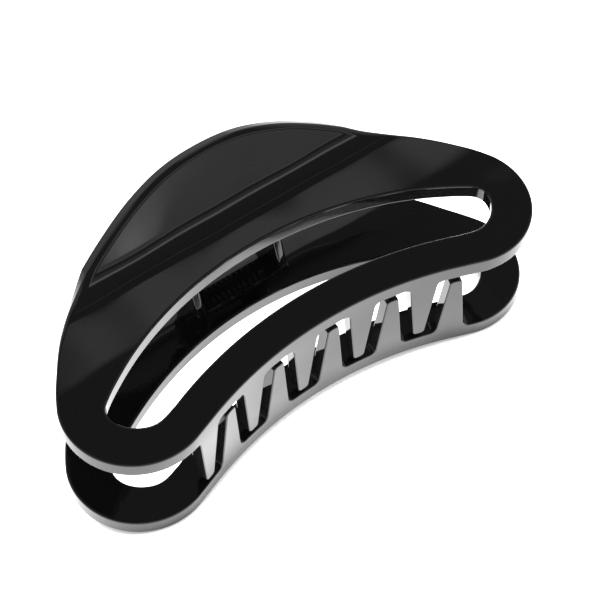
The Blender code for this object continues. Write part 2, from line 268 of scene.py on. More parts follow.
def side_outline():
    """The plate's edge from the end of the comb to the middle of the wing's edge."""
    straight = Vector(lobe_point(LOBE_START_ANGLE)) - wall_frame(FRONT_ARC)[0]
    start = LOBE_START_ANGLE + (COMB_REACH - FRONT_ARC - straight.length) / LOBE_RADIUS
    lobe = [
        lobe_point(start + (LOBE_END_ANGLE - start) * step / LOBE_STEPS)
        for step in range(LOBE_STEPS + 1)
    ]
    before = lobe_point(LOBE_END_ANGLE - LOBE_CURVE_STEP)
    mirrored = (-SIDE_CURVE[-2][0], SIDE_CURVE[-2][1])
    side = smooth_curve([before, lobe[-1], *SIDE_CURVE, mirrored], SIDE_STEPS)
    return lobe[:-1] + side + [SIDE_CURVE[-1]]


def slot_loop():
    """The slot's edge, anticlockwise from the middle of its front side."""
    front = []
    for step in range(SLOT_SIDE_STEPS + 1):
        x = SLOT_FRONT_END_X * step / SLOT_SIDE_STEPS
        front.append((x, arc_y(x, SLOT_FRONT_Y, SLOT_FRONT_RADIUS)))
    back = []
    for step in range(SLOT_SIDE_STEPS + 1):
        x = SLOT_BACK_END_X * (1 - step / SLOT_SIDE_STEPS)
        back.append((x, arc_y(x, SLOT_BACK_Y, SLOT_BACK_RADIUS)))
    lead_in, lead_out = front[-1 - SLOT_END_LEAD], back[SLOT_END_LEAD]
    end = smooth_curve([lead_in, front[-1], *SLOT_END_CURVE, back[0], lead_out], SLOT_END_STEPS)
    half = front[:-1] + end + back
    return half + [(-x, y) for x, y in reversed(half[1:-1])]


def left_normals(points, closed):
    """Unit normals to the left of a path, one for each point."""
    normals = []
    last = len(points) - 1
    for i, point in enumerate(points):
        before = points[i - 1] if i > 0 or closed else point
        after = points[(i + 1) % len(points)] if i < last or closed else point
        along = (Vector(after) - Vector(before)).normalized()
        normals.append(Vector((-along.y, along.x)))
    return normals


def rounded_path(corners, steps):
    """A path through corners of (u, z, radius), with an arc at each corner that has a radius."""
    path = [Vector(corners[0][:2])]
    for before, corner, after in zip(corners, corners[1:], corners[2:]):
        here, radius = Vector(corner[:2]), corner[2]
        inward = (here - Vector(before[:2])).normalized()
        outward = (Vector(after[:2]) - here).normalized()
        turn = math.atan2(inward.x * outward.y - inward.y * outward.x, inward.dot(outward))
        side = math.copysign(1.0, turn)
        start = here - inward * radius * math.tan(abs(turn) / 2)
        centre = start + Vector((-inward.y, inward.x)) * radius * side
        for step in range(steps + 1):
            angle = turn * step / steps
            path.append(centre + Matrix.Rotation(angle, 2) @ (start - centre))
    path.append(Vector(corners[-1][:2]))
    return path


def split_long(path, longest):
    """The same path with no step longer than the given one."""
    points = [path[0]]
    for start, end in zip(path, path[1:]):
        count = max(1, math.ceil((end - start).length / longest))
        points += [start.lerp(end, i / count) for i in range(1, count + 1)]
    return points


def tooth_centres(centre):
    return [centre + TOOTH_PITCH * (i - (TOOTH_COUNT - 1) / 2) for i in range(TOOTH_COUNT)]


def comb_path(centre):
    """Lower edge of the front wall, unrolled: along the wall, and height, from left to right."""
    root_z = -PLATE_THICKNESS
    tip_z = -PLATE_THICKNESS - TOOTH_LENGTH
    corners = [(-COMB_REACH, root_z, 0.0)]
    for u in tooth_centres(centre):
        corners += [
            (u - TOOTH_ROOT_HALF, root_z, TOOTH_FILLET),
            (u - TOOTH_TIP_HALF, tip_z, TOOTH_TIP_ROUND),
            (u + TOOTH_TIP_HALF, tip_z, TOOTH_TIP_ROUND),
            (u + TOOTH_ROOT_HALF, root_z, TOOTH_FILLET),
        ]
    corners.append((COMB_REACH, root_z, 0.0))
    return split_long(rounded_path(corners, CORNER_STEPS), FRONT_STEP)


# Bend

def bend(along):
    """Place, slope and curvature of the plate's outer face at a distance along it."""
    if along < VALLEY_START:
        return along, 0.0, 0.0, 0.0
    if along < BEND_START:
        width = BEND_START - VALLEY_START
        phase = math.pi * (along - VALLEY_START) / width
        slope = -VALLEY_DEPTH * math.pi / (2 * width) * math.sin(phase)
        curvature = -VALLEY_DEPTH * math.pi ** 2 / (2 * width ** 2) * math.cos(phase)
        return along, -VALLEY_DEPTH * (1 - math.cos(phase)) / 2, math.atan(slope), curvature
    turn = min((along - BEND_START) / BEND_RADIUS, BEND_ANGLE)
    straight = along - BEND_START - BEND_RADIUS * turn
    y = BEND_START + BEND_RADIUS * math.sin(turn) + straight * math.cos(turn)
    z = -VALLEY_DEPTH + BEND_RADIUS * (1 - math.cos(turn)) + straight * math.sin(turn)
    return y, z, turn, (1 / BEND_RADIUS if straight < TINY else 0.0)


def bent(point):
    """A point of the flat plate, moved to where it is on the bent one."""
    y, z, slope, _ = bend(point.y)
    return Vector((point.x, y - point.z * math.sin(slope), z + point.z * math.cos(slope)))


def bent_normal(normal, point):
    """A surface normal of the flat plate, turned with the plate."""
    _, _, slope, curvature = bend(point.y)
    along = normal.y / (1 - point.z * curvature)
    c, s = math.cos(slope), math.sin(slope)
    return Vector((normal.x, along * c - normal.z * s, along * s + normal.z * c)).normalized()


def upright(point):
    """A point of the slot's edge on the bent plate: the mould draws its walls straight up."""
    _, z, slope, _ = bend(point.y)
    return Vector((point.x, point.y, z + point.z / math.cos(slope)))


def upright_normal(normal, point):
    """A surface normal there: it turns with the plate at the faces and not at all on the wall."""
    turned_with_plate = bent_normal(Vector((0.0, 0.0, 1.0)), point)
    flat = Vector((normal.x, normal.y, 0.0))
    return (flat + turned_with_plate * normal.z).normalized()


def unbent(point):
    """Distance along the outer face, and height over it, of a point of the bent plate."""
    along = point.y
    for _ in range(UNBEND_ROUNDS):
        y, z, slope, curvature = bend(along)
        dy, dz = point.y - y, point.z - z
        over = -dy * math.sin(slope) + dz * math.cos(slope)
        slip = dy * math.cos(slope) + dz * math.sin(slope)
        along += slip / max(UNBEND_LEAST, 1 - over * curvature)
    return along, over


# Jaw

def quarter_round(radius):
    """Steps of a rounded edge: distance from the wall, distance from the face, share of each normal."""
    steps = []
    for i in range(ROUND_STEPS + 1):
        angle = math.pi / 2 * i / ROUND_STEPS
        s, c = math.sin(angle), math.cos(angle)
        steps.append((radius * (1 - s), radius * (1 - c), s, c))
    return steps


def smooth_share(value, low, high):
    share = min(1.0, max(0.0, (value - low) / (high - low)))
    return share * share * (3 - 2 * share)


def band_depth(u, z, centre):
    """How far the comb's band lies behind the upper part of the front wall."""
    half = TOOTH_PITCH * (TOOTH_COUNT - 1) / 2 + TOOTH_ROOT_HALF
    down = smooth_share(-z, BAND_TOP - BAND_BLEND, BAND_TOP + BAND_BLEND)
    across = 1 - smooth_share(abs(u - centre), half, half + BAND_END_BLEND)
    return BAND_DEPTH * down * across


def on_wall(u, depth, z):
    """A point given along the front wall, behind it, and by its height."""
    place, _, back = wall_frame(u)
    return (place + back * depth).to_3d() + Vector((0.0, 0.0, z))


def wall_normal(u, along, behind, up):
    _, forth, back = wall_frame(u)
    return (forth * along + back * behind).to_3d() + Vector((0.0, 0.0, up))


class Shell:
    """A mesh in progress whose points remember the normal of the surface that they were made on."""

    def __init__(self):
        self.bm = bmesh.new()
        self.normal = self.bm.verts.layers.float_vector.new("shell_normal")
        self.upright = self.bm.verts.layers.int.new("upright")

    def point(self, place, normal, upright=False):
        vert = self.bm.verts.new(place)
        vert[self.normal] = normal
        vert[self.upright] = int(upright)
        return vert

    def face(self, verts):
        """A face of the given points, less any that repeats its neighbour."""
        kept = [v for i, v in enumerate(verts) if v is not verts[i - 1]]
        if len(set(kept)) > 2:
            self.bm.faces.new(kept)

    def strip(self, first, second):
        for (a, b), (c, d) in zip(zip(first, first[1:]), zip(second, second[1:])):
            self.face([a, b, d, c])

    def fill(self, *loops):
        edges = []
        for loop in loops:
            edges += [self.bm.edges.get((a, b)) for a, b in zip(loop, loop[1:] + loop[:1])]
        bmesh.ops.triangle_fill(self.bm, use_beauty=True, edges=edges)


def plain_column(shell, place, into, outer_round, upright=False):
    """Outer edge, wall and inner edge at one point of an outline, from the outer face to the inner face."""
    column = []
    for inset, drop, s, c in quarter_round(outer_round):
        spot = place + into * inset
        column.append(shell.point((spot.x, spot.y, -drop), (-into.x * s, -into.y * s, c), upright))
    wall = (-into.x, -into.y, 0.0)
    for z in WALL_HEIGHTS:
        column.append(shell.point((place.x, place.y, z), wall, upright))
    for inset, drop, s, c in reversed(quarter_round(EDGE_ROUND)):
        spot = place + into * inset
        column.append(shell.point(
            (spot.x, spot.y, drop - PLATE_THICKNESS), (-into.x * s, -into.y * s, -c), upright,
        ))
    return column


def comb_column(shell, spot, into, centre):
    """Outer edge, wall and lower edge at one point of the comb, from the outer face down."""
    edge = spot + into * COMB_EDGE_ROUND
    column = []
    for inset, drop, s, c in quarter_round(EDGE_ROUND):
        column.append(shell.point(on_wall(edge.x, inset, -drop), wall_normal(edge.x, 0.0, -s, c)))
    for z in WALL_HEIGHTS:
        depth = band_depth(edge.x, z, centre)
        column.append(shell.point(on_wall(edge.x, depth, z), wall_normal(edge.x, 0.0, -1.0, 0.0)))
    shift = band_depth(edge.x, edge.y, centre)
    for inset, depth, c, s in quarter_round(COMB_EDGE_ROUND):
        here = spot + into * inset
        column.append(shell.point(
            on_wall(here.x, shift + depth, here.y),
            wall_normal(here.x, -into.x * c, -s, -into.y * c),
        ))
    return column


def tooth_back(shell, column, spot, into):
    """Side and back of a tooth behind one point of the comb's edge, up to the inner face."""
    below = -PLATE_THICKNESS - spot.y
    radius = min(COMB_EDGE_ROUND, below)
    chain = [column[-1]]
    if radius < TINY:
        corner = shell.point(on_wall(spot.x, TOOTH_DEPTH, spot.y), (0.0, 0.0, -1.0))
        return chain + [corner] * (ROUND_STEPS + 2)
    for inset, drop, s, c in quarter_round(radius):
        here = spot + into * drop
        chain.append(shell.point(
            on_wall(here.x, TOOTH_DEPTH - inset, here.y),
            wall_normal(here.x, -into.x * c, s, -into.y * c),
        ))
    top = shell.point(on_wall(here.x, TOOTH_DEPTH, -PLATE_THICKNESS), (0.0, 0.0, -1.0))
    return chain + [top]


def jaw_blank(centre):
    """The flat plate with its slot and its five teeth."""
    shell = Shell()
    comb = comb_path(centre)
    side = [Vector(point) for point in side_outline()[1:]]
    loop_points = comb + side + [Vector((-p.x, p.y)) for p in reversed(side[:-1])]
    comb_normals = left_normals(comb, closed=False)
    columns = [comb_column(shell, spot, into, centre) for spot, into in zip(comb, comb_normals)]
    arc_ends = [on_wall(u, 0.0, 0.0).xy for u in (comb[0].x, comb[-1].x)]
    plain = [arc_ends[1]] + loop_points[len(comb):] + [arc_ends[0]]
    for place, into in list(zip(plain, left_normals(plain, closed=False)))[1:-1]:
        wing_share = smooth_share(place.y, WING_ROUND_START, WING_ROUND_FULL)
        outer_round = EDGE_ROUND + (WING_EDGE_ROUND - EDGE_ROUND) * wing_share
        columns.append(plain_column(shell, place, into, outer_round))
    for first, second in zip(columns, columns[1:] + columns[:1]):
        shell.strip(first, second)

    bottom_loop = []
    chain_before = None
    for k, spot in enumerate(comb):
        root = abs(spot.y + PLATE_THICKNESS) < TINY
        next_down = k + 1 < len(comb) and comb[k + 1].y < -PLATE_THICKNESS - TINY
        last_down = k > 0 and comb[k - 1].y < -PLATE_THICKNESS - TINY
        if root and not (next_down or last_down):
            bottom_loop.append(columns[k][-1])
            continue
        chain = tooth_back(shell, columns[k], spot, comb_normals[k])
        if chain_before:
            shell.strip(chain_before, chain)
        if root and next_down:
            bottom_loop += [columns[k][-1], chain[-1]]
        elif root:
            bottom_loop += [chain[-1], columns[k][-1]]
        else:
            bottom_loop.append(chain[-1])
        chain_before = None if root and last_down else chain
    bottom_loop += [column[-1] for column in columns[len(comb):]]

    slot = [Vector(point) for point in slot_loop()]
    slot_columns = [
        plain_column(shell, place, -left, EDGE_ROUND, upright=True)
        for place, left in zip(slot, left_normals(slot, closed=True))
    ]
    for first, second in zip(slot_columns, slot_columns[1:] + slot_columns[:1]):
        shell.strip(first, second)

    shell.fill([column[0] for column in columns], [column[0] for column in slot_columns])
    shell.fill(bottom_loop, [column[-1] for column in slot_columns])
    return shell


def bend_blank(shell):
    """Cuts the blank into narrow strips across the bend and curls it.

    Points made by a cut take over the upright mark of their neighbours. The slot lies in front of the bend,
    so the mark counts only there.
    """
    bm = shell.bm
    cuts = [VALLEY_START + (BEND_START - VALLEY_START) * i / VALLEY_FACETS for i in range(VALLEY_FACETS)]
    cuts += [BEND_START + BEND_RADIUS * BEND_ANGLE * i / BEND_FACETS for i in range(BEND_FACETS + 1)]
    for cut in cuts:
        bmesh.ops.bisect_plane(
            bm, geom=bm.verts[:] + bm.edges[:] + bm.faces[:],
            plane_co=(0.0, cut, 0.0), plane_no=(0.0, 1.0, 0.0), dist=AT_CUT,
        )
    for vert in bm.verts:
        normal = vert[shell.normal].normalized()
        if vert[shell.upright] and vert.co.y < BEND_START:
            vert[shell.normal] = upright_normal(normal, vert.co)
            vert.co = upright(vert.co)
        else:
            vert[shell.normal] = bent_normal(normal, vert.co)
            vert.co = bent(vert.co)
    bmesh.ops.recalc_face_normals(bm, faces=bm.faces[:])


def prism(outline, low_x, high_x, edge_round):
    """A solid with one outline in Y and Z, with its rims rounded where they stand out of the plate."""
    bm = bmesh.new()
    left = [bm.verts.new((low_x, y, z)) for y, z in outline]
    right = [bm.verts.new((high_x, y, z)) for y, z in outline]
    for i in range(len(outline)):
        j = (i + 1) % len(outline)
        bm.faces.new((left[i], left[j], right[j], right[i]))
    caps = [bm.faces.new(left), bm.faces.new(right)]
    bmesh.ops.recalc_face_normals(bm, faces=bm.faces[:])
    rims = [
        edge for cap in caps for edge in cap.edges
        if min(vert.co.z for vert in edge.verts) < -PLATE_THICKNESS - TINY
    ]
    bmesh.ops.bevel(
        bm, geom=rims, offset=edge_round, offset_type="OFFSET", segments=ROUND_STEPS, profile=0.5,
        affect="EDGES",
    )
    return bm


def lug_outline():
    """Outline of a hinge lug: round at the pin and wide where it grows from the plate."""
    hinge = Vector(HINGE.yz)
    front = Vector((LUG_FRONT_Y, -PLATE_THICKNESS)) - hinge
    back = Vector((LUG_BACK_Y, -PLATE_THICKNESS)) - hinge
    front_tangent = math.atan2(front.y, front.x) + math.acos(LUG_RADIUS / front.length)
    back_tangent = math.atan2(back.y, back.x) - math.acos(LUG_RADIUS / back.length)
    outline = []
    for step in range(LUG_ROOT_STEPS, -1, -1):
        along = LUG_FRONT_Y + (LUG_BACK_Y - LUG_FRONT_Y) * step / LUG_ROOT_STEPS
        root = bent(Vector((0.0, along, SUNK - PLATE_THICKNESS)))
        outline.append((root.y, root.z))
    outline.append((LUG_FRONT_Y, -PLATE_THICKNESS))
    sweep = (back_tangent - front_tangent) % (2 * math.pi)
    for step in range(LUG_ROUND_STEPS + 1):
        angle = front_tangent + sweep * step / LUG_ROUND_STEPS
        outline.append((hinge.x + LUG_RADIUS * math.cos(angle), hinge.y + LUG_RADIUS * math.sin(angle)))
    return outline


def lug_mesh(x):
    return prism(lug_outline(), x - LUG_THICKNESS / 2, x + LUG_THICKNESS / 2, LUG_EDGE_ROUND)


def pad_mesh():
    """The low rib that joins the lugs on the inner face."""
    low_z = -PLATE_THICKNESS - VALLEY_DEPTH - PAD_HEIGHT
    high_z = -PLATE_THICKNESS + SUNK
    front_y = LUG_FRONT_Y - PAD_EDGE_ROUND
    outline = [
        (front_y, high_z), (front_y, low_z + PAD_EDGE_ROUND), (LUG_FRONT_Y, low_z),
        (PAD_BACK_Y, low_z), (PAD_BACK_Y, high_z),
    ]
    return prism(outline, -PAD_HALF_LENGTH, PAD_HALF_LENGTH, PAD_EDGE_ROUND)


def bore_mesh():
    bm = bmesh.new()
    bmesh.ops.create_cone(
        bm, cap_ends=True, segments=PIN_SIDES, radius1=BORE_RADIUS, radius2=BORE_RADIUS,
        depth=2 * (PAD_HALF_LENGTH + SUNK),
        matrix=Matrix.Translation(HINGE) @ Matrix.Rotation(math.pi / 2, 4, "Y"),
    )
    return bm


def linked(name, bm):
    mesh = bpy.data.meshes.new(name)
    bm.to_mesh(mesh)
    bm.free()
    item = bpy.data.objects.new(name, mesh)
    bpy.context.scene.collection.objects.link(item)
    return item


def combined(item, helpers):
    """Joins or cuts a body with helpers, which are then removed."""
    for helper, operation in helpers:
        modifier = item.modifiers.new(helper.name, "BOOLEAN")
        modifier.operation = operation
        modifier.solver = "EXACT"
        modifier.object = helper
    evaluated = item.evaluated_get(bpy.context.evaluated_depsgraph_get())
    mesh = bpy.data.meshes.new_from_object(evaluated)
    item.modifiers.clear()
    item.data = mesh
    for helper, _ in helpers:
        bpy.data.objects.remove(helper, do_unlink=True)


def plate_normal(place, face_normal):
    """Exact normal of the outer or inner face at a point of it, or None elsewhere."""
    along, over = unbent(place)
    _, _, slope, _ = bend(along)
    normal = Vector((0.0, -math.sin(slope), math.cos(slope)))
    if abs(over + PLATE_THICKNESS) < PLATE_THICKNESS / 2:
        normal.negate()
    on_face = min(abs(over), abs(over + PLATE_THICKNESS)) < ON_FACE
    return normal if on_face and normal.dot(face_normal) > SAME_FACE_COSINE else None


def shade(item, known):
    """Sets the normals of a mesh: those known for its points, and smoothed ones where none are."""
    mesh = item.data
    tree = KDTree(len(known))
    for i, (place, _) in enumerate(known):
        tree.insert(place, i)
    tree.balance()
    stored = {}
    for vert in mesh.vertices:
        _, index, distance = tree.find(vert.co)
        if distance < TINY:
            stored[vert.index] = known[index][1]
    around = {}
    for face in mesh.polygons:
        for index in face.vertices:
            around.setdefault(index, []).append((face.normal.copy(), face.area))
    normals = [None] * len(mesh.loops)
    for face in mesh.polygons:
        for loop in face.loop_indices:
            index = mesh.loops[loop].vertex_index
            normal = stored.get(index)
            if normal is None:
                normal = plate_normal(mesh.vertices[index].co, face.normal)
            if normal is None or normal.dot(face.normal) < SMOOTH_COSINE:
                normal = Vector()
                for other, area in around[index]:
                    if other.dot(face.normal) > SMOOTH_COSINE:
                        normal += other * area
            normals[loop] = normal.normalized()
    mesh.shade_smooth()
    mesh.normals_split_custom_set(normals)


def jaw(name, centre, lug_x):
    """One jaw in its own frame, in millimetres."""
    shell = jaw_blank(centre)
    bend_blank(shell)
    known = [(vert.co.copy(), vert[shell.normal].copy()) for vert in shell.bm.verts]
    item = linked(name, shell.bm)
    combined(item, [
        (linked("pad", pad_mesh()), "UNION"),
        (linked("left_lug", lug_mesh(-lug_x)), "UNION"),
        (linked("right_lug", lug_mesh(lug_x)), "UNION"),
        (linked("bore", bore_mesh()), "DIFFERENCE"),
    ])
    shade(item, known)
    return item


def lay(item, matrix):
    """Moves a finished mesh to where the clip lies, with the object's own origin left at the frame's."""
    mesh = item.data
    turn = matrix.to_3x3().normalized()
    normals = [turn @ Vector(corner.vector) for corner in mesh.corner_normals]
    mesh.transform(matrix)
    mesh.normals_split_custom_set(normals)


# Pin and spring

def turned(name, profile, sides):
    """A body turned about the hinge line, from (x, radius) pairs."""
    bm = bmesh.new()
    rings = []
    for x, radius in profile:
        rings.append([
            bm.verts.new((
                x,
                HINGE.y + radius * math.cos(2 * math.pi * i / sides),
                HINGE.z + radius * math.sin(2 * math.pi * i / sides),
            ))
            for i in range(sides)
        ])
    for first, second in zip(rings, rings[1:]):
        for i in range(sides):
            j = (i + 1) % sides
            bm.faces.new((first[i], first[j], second[j], second[i]))
    bm.faces.new(rings[0])
    bm.faces.new(rings[-1])
    bmesh.ops.recalc_face_normals(bm, faces=bm.faces[:])
    item = linked(name, bm)
    item.data.shade_smooth()
    item.data.set_sharp_from_angle(angle=PIN_SHARP_ANGLE)
    return item


def pin():
    """The pin with a head at each end: a chamfer, a short rim and a low dome."""
    shoulder = LOWER_LUG_X + LUG_THICKNESS / 2 + RUNNING_GAP
    half = [
        (shoulder, PIN_RADIUS),
        (shoulder, PIN_HEAD_RADIUS - PIN_HEAD_CHAMFER),
        (shoulder + PIN_HEAD_CHAMFER, PIN_HEAD_RADIUS),
    ]
    for step in range(PIN_DOME_STEPS + 1):
        angle = math.pi / 2 * step / PIN_DOME_STEPS
        half.append((
            shoulder + PIN_HEAD_RIM + (PIN_HEAD_LENGTH - PIN_HEAD_RIM) * math.sin(angle),
            PIN_HEAD_RADIUS * max(PIN_DOME_TIP_SHARE, math.cos(angle)),
        ))
    return turned("hinge_pin_turned", [(-x, r) for x, r in reversed(half)] + half, PIN_SIDES)


def leg_length(start, along):
    """How far a leg reaches before it lies under the inner face of the bend."""
    centre = Vector((start.x, BEND_START, BEND_RADIUS - VALLEY_DEPTH))
    reach = BEND_RADIUS + PLATE_THICKNESS + WIRE_RADIUS + RUNNING_GAP
    middle = (centre - start).dot(along)
    return middle - math.sqrt(reach ** 2 - (start - centre).length_squared + middle ** 2)


def half_route():
    """Centre line of the spring from the end of the upper leg to the middle of the coil."""
    outer_x = COIL_HALF_LENGTH
    first = LEG_ANGLE + math.pi / 2
    radial = Vector((0.0, math.cos(first), math.sin(first)))
    along = Vector((0.0, math.cos(LEG_ANGLE), math.sin(LEG_ANGLE)))
    start = HINGE + Vector((outer_x, 0.0, 0.0)) + radial * COIL_RADIUS
    length = leg_length(start, along)
    route = [start + along * length * (1 - step / LEG_STEPS) for step in range(LEG_STEPS)]
    count = round(COIL_HALF_TURNS * COIL_STEPS)
    for step in range(count + 1):
        share = step / count
        angle = first + 2 * math.pi * COIL_HALF_TURNS * share
        route.append(HINGE + Vector((
            outer_x * (1 - share), COIL_RADIUS * math.cos(angle), COIL_RADIUS * math.sin(angle),
        )))
    return route


def spring():
    """One wire: a leg, the coil round the pin, and the other leg."""
    half = half_route()
    route = half + [TURNED_OVER @ point for point in reversed(half[:-1])]
    bm = bmesh.new()
    uv = bm.loops.layers.uv.new("along_the_wire")
    rings = []
    lengths = [0.0]
    for before, after in zip(route, route[1:]):
        lengths.append(lengths[-1] + (after - before).length)
    for i, point in enumerate(route):
        before = route[max(i - 1, 0)]
        after = route[min(i + 1, len(route) - 1)]
        along = (after - before).normalized()
        side = along.cross(Vector((1.0, 0.0, 0.0))).normalized()
        up = along.cross(side)
        rings.append([
            bm.verts.new(point + WIRE_RADIUS * (
                side * math.cos(2 * math.pi * k / WIRE_SIDES) + up * math.sin(2 * math.pi * k / WIRE_SIDES)
            ))
            for k in range(WIRE_SIDES)
        ])
    for i, (first, second) in enumerate(zip(rings, rings[1:])):
        for k in range(WIRE_SIDES):
            j = (k + 1) % WIRE_SIDES
            face = bm.faces.new((first[k], first[j], second[j], second[k]))
            for loop, (row, turn) in zip(face.loops, ((i, k), (i, k + 1), (i + 1, k + 1), (i + 1, k))):
                loop[uv].uv = (lengths[row] / WIRE_PATTERN_LENGTH, turn / WIRE_SIDES)
    bm.faces.new(rings[0])
    bm.faces.new(rings[-1])
    bmesh.ops.recalc_face_normals(bm, faces=bm.faces[:])
    item = linked("torsion_spring", bm)
    item.data.shade_smooth()
    item.data.set_sharp_from_angle(angle=WIRE_SHARP_ANGLE)
    return item


# Materials

# Scales are per metre. Each pair of levels says where a pattern starts to show and where it shows fully.
NOISE_MIDDLE = 0.5

# Hairline scratches, and the patches that they lie in
SCRATCH_LINES = (
    # turn in radians, stretch
    (0.35, (60.0, 900.0, 60.0)),
    (-0.8, (700.0, 45.0, 50.0)),
)
SCRATCH_PATCH_SCALE = 130.0
SCRATCH_PATCH_LEVELS = (0.5, 0.7)

# Dust: its specks, the drifts that they lie in, and how far up the surface looks there
SPECK_LEVELS = (0.64, 0.72)
DRIFT_SCALE = 90.0
DRIFT_LEVELS = (0.35, 0.75)
UPWARD_LEVELS = (0.2, 1.0)

# Black plastic. Its waves grow along Y from their share in front to their full height on the wing.
PLASTIC_BLACK = (0.010, 0.010, 0.0105, 1.0)
PLASTIC_DUST = (0.05, 0.05, 0.048, 1.0)
PLASTIC_IOR = 1.5
PLASTIC_ROUGHNESS = 0.035
PLASTIC_DUST_ROUGHNESS = 0.2
SCRATCH_ROUGHNESS = 0.12
FLOW_SCALE = 70.0
FLOW_LEVELS = (0.3, 0.8)
FLOW_ROUGHNESS = 0.02
WAVE_HEIGHT = 0.0024
WAVE_SHARE_IN_FRONT = 0.6
WAVE_GROWTH = (-0.002, 0.009)

# Spring steel
STEEL_DARK = (0.05, 0.05, 0.053, 1.0)
STEEL_WORN = (0.18, 0.18, 0.185, 1.0)
STEEL_ROUGHNESS = 0.2
STEEL_DUST_ROUGHNESS = 0.3
DIE_LINE_STRETCH = (0.5, 14.0, 1.0)
DIE_LINE_ROUGHNESS = 0.2
DIE_LINE_SHARE = 0.5
WEAR_SCALE = 420.0
WEAR_LEVELS = (0.5, 0.75)
WEAR_SHARE = 0.5
STEEL_SKIN_HEIGHT = 0.00001

# White table
TABLE_WHITE = 0.85
TABLE_ROUGHNESS = 0.55
GRAIN_SCALE = 900.0
GRAIN_ROUGHNESS = 0.1
GRAIN_HEIGHT = 0.00005


def grey(value):
    return (value, value, value, 1.0)


def new_material(name):
    material = bpy.data.materials.new(name)
    material.use_nodes = True
    return material, material.node_tree, material.node_tree.nodes["Principled BSDF"]


def node(tree, kind, **settings):
    made = tree.nodes.new(kind)
    for name, value in settings.items():
        setattr(made, name, value)
    return made


def feed(tree, value, socket):
    """Links a socket to another node's, or sets it to a plain number or colour."""
    if isinstance(value, bpy.types.NodeSocket):
        tree.links.new(value, socket)
    else:
        socket.default_value = value


def math_node(tree, operation, *values):
    """A math node fed with numbers and sockets."""
    made = node(tree, "ShaderNodeMath", operation=operation)
    for socket, value in zip(made.inputs, values):
        feed(tree, value, socket)
    return made.outputs[0]


def mixed(tree, factor, first, second, blend_type="MIX"):
    """Two colours mixed, each given as a colour or a socket."""
    made = node(tree, "ShaderNodeMix", data_type="RGBA", blend_type=blend_type)
    feed(tree, factor, made.inputs["Factor"])
    feed(tree, first, made.inputs["A"])
    feed(tree, second, made.inputs["B"])
    return made.outputs["Result"]


def parts_of(tree, vector):
    made = node(tree, "ShaderNodeSeparateXYZ")
    tree.links.new(vector, made.inputs["Vector"])
    return made.outputs


def between(tree, value, low, high):
    """How far a value lies between two others, from 0 to 1."""
    made = node(tree, "ShaderNodeMapRange", clamp=True, interpolation_type="SMOOTHSTEP")
    tree.links.new(value, made.inputs["Value"])
    made.inputs["From Min"].default_value = low
    made.inputs["From Max"].default_value = high
    return made.outputs["Result"]


def within(tree, value, start, end):
    """1 where a value is past its start and before its end, 0 outside them."""
    return math_node(tree, "SUBTRACT", between(tree, value, *start), between(tree, value, *end))


def new_group(name, inputs, outputs):
    group = bpy.data.node_groups.new(name, "ShaderNodeTree")
    for label, value in inputs:
        socket = group.interface.new_socket(name=label, in_out="INPUT", socket_type="NodeSocketFloat")
        socket.default_value = value
    for label in outputs:
        group.interface.new_socket(name=label, in_out="OUTPUT", socket_type="NodeSocketFloat")
    return group, node(group, "NodeGroupInput"), node(group, "NodeGroupOutput")


def placed_group(tree, group, **values):
    made = node(tree, "ShaderNodeGroup", node_tree=group)
    for name, value in values.items():
        made.inputs[name.replace("_", " ").capitalize()].default_value = value
    return made


def noise(tree, place, scale, detail, stretch=(1.0, 1.0, 1.0)):
    mapping = node(tree, "ShaderNodeMapping")
    mapping.inputs["Scale"].default_value = stretch
    tree.links.new(place, mapping.inputs["Vector"])
    made = node(tree, "ShaderNodeTexNoise")
    made.inputs["Detail"].default_value = detail
    tree.links.new(mapping.outputs["Vector"], made.inputs["Vector"])
    feed(tree, scale, made.inputs["Scale"])
    return made.outputs["Fac"]


def soft_waves_group():
    """Slow waves and a finer skin, as a height from 0 to 1."""
    group, given, result = new_group(
        "soft_waves", (("Wave scale", 60.0), ("Skin scale", 900.0), ("Skin share", 0.1)), ("Height",),
    )
    place = node(group, "ShaderNodeTexCoord").outputs["Object"]
    slow = noise(group, place, given.outputs["Wave scale"], detail=1.0)
    fine = noise(group, place, given.outputs["Skin scale"], detail=2.0)
    skin = math_node(group, "MULTIPLY", fine, given.outputs["Skin share"])
    group.links.new(math_node(group, "ADD", slow, skin), result.inputs["Height"])
    return group


def fine_scratches_group():
    """Thin lines in two directions, as a mask."""
    group, given, result = new_group(
        "fine_scratches", (("Scale", 1.0), ("Width", 0.006), ("Amount", 1.0)), ("Mask",),
    )
    place = node(group, "ShaderNodeTexCoord").outputs["Object"]
    lines = []
    for turn, stretch in SCRATCH_LINES:
        mapping = node(group, "ShaderNodeMapping")
        mapping.inputs["Rotation"].default_value = (0.0, 0.0, turn)
        group.links.new(place, mapping.inputs["Vector"])
        wavy = noise(group, mapping.outputs["Vector"], given.outputs["Scale"], detail=1.0, stretch=stretch)
        off = math_node(group, "ABSOLUTE", math_node(group, "SUBTRACT", wavy, NOISE_MIDDLE))
        lines.append(math_node(group, "LESS_THAN", off, given.outputs["Width"]))
    patches = between(group, noise(group, place, SCRATCH_PATCH_SCALE, detail=2.0), *SCRATCH_PATCH_LEVELS)
    both = math_node(group, "MAXIMUM", *lines)
    mask = math_node(group, "MULTIPLY", math_node(group, "MULTIPLY", both, patches), given.outputs["Amount"])
    group.links.new(mask, result.inputs["Mask"])
    return group


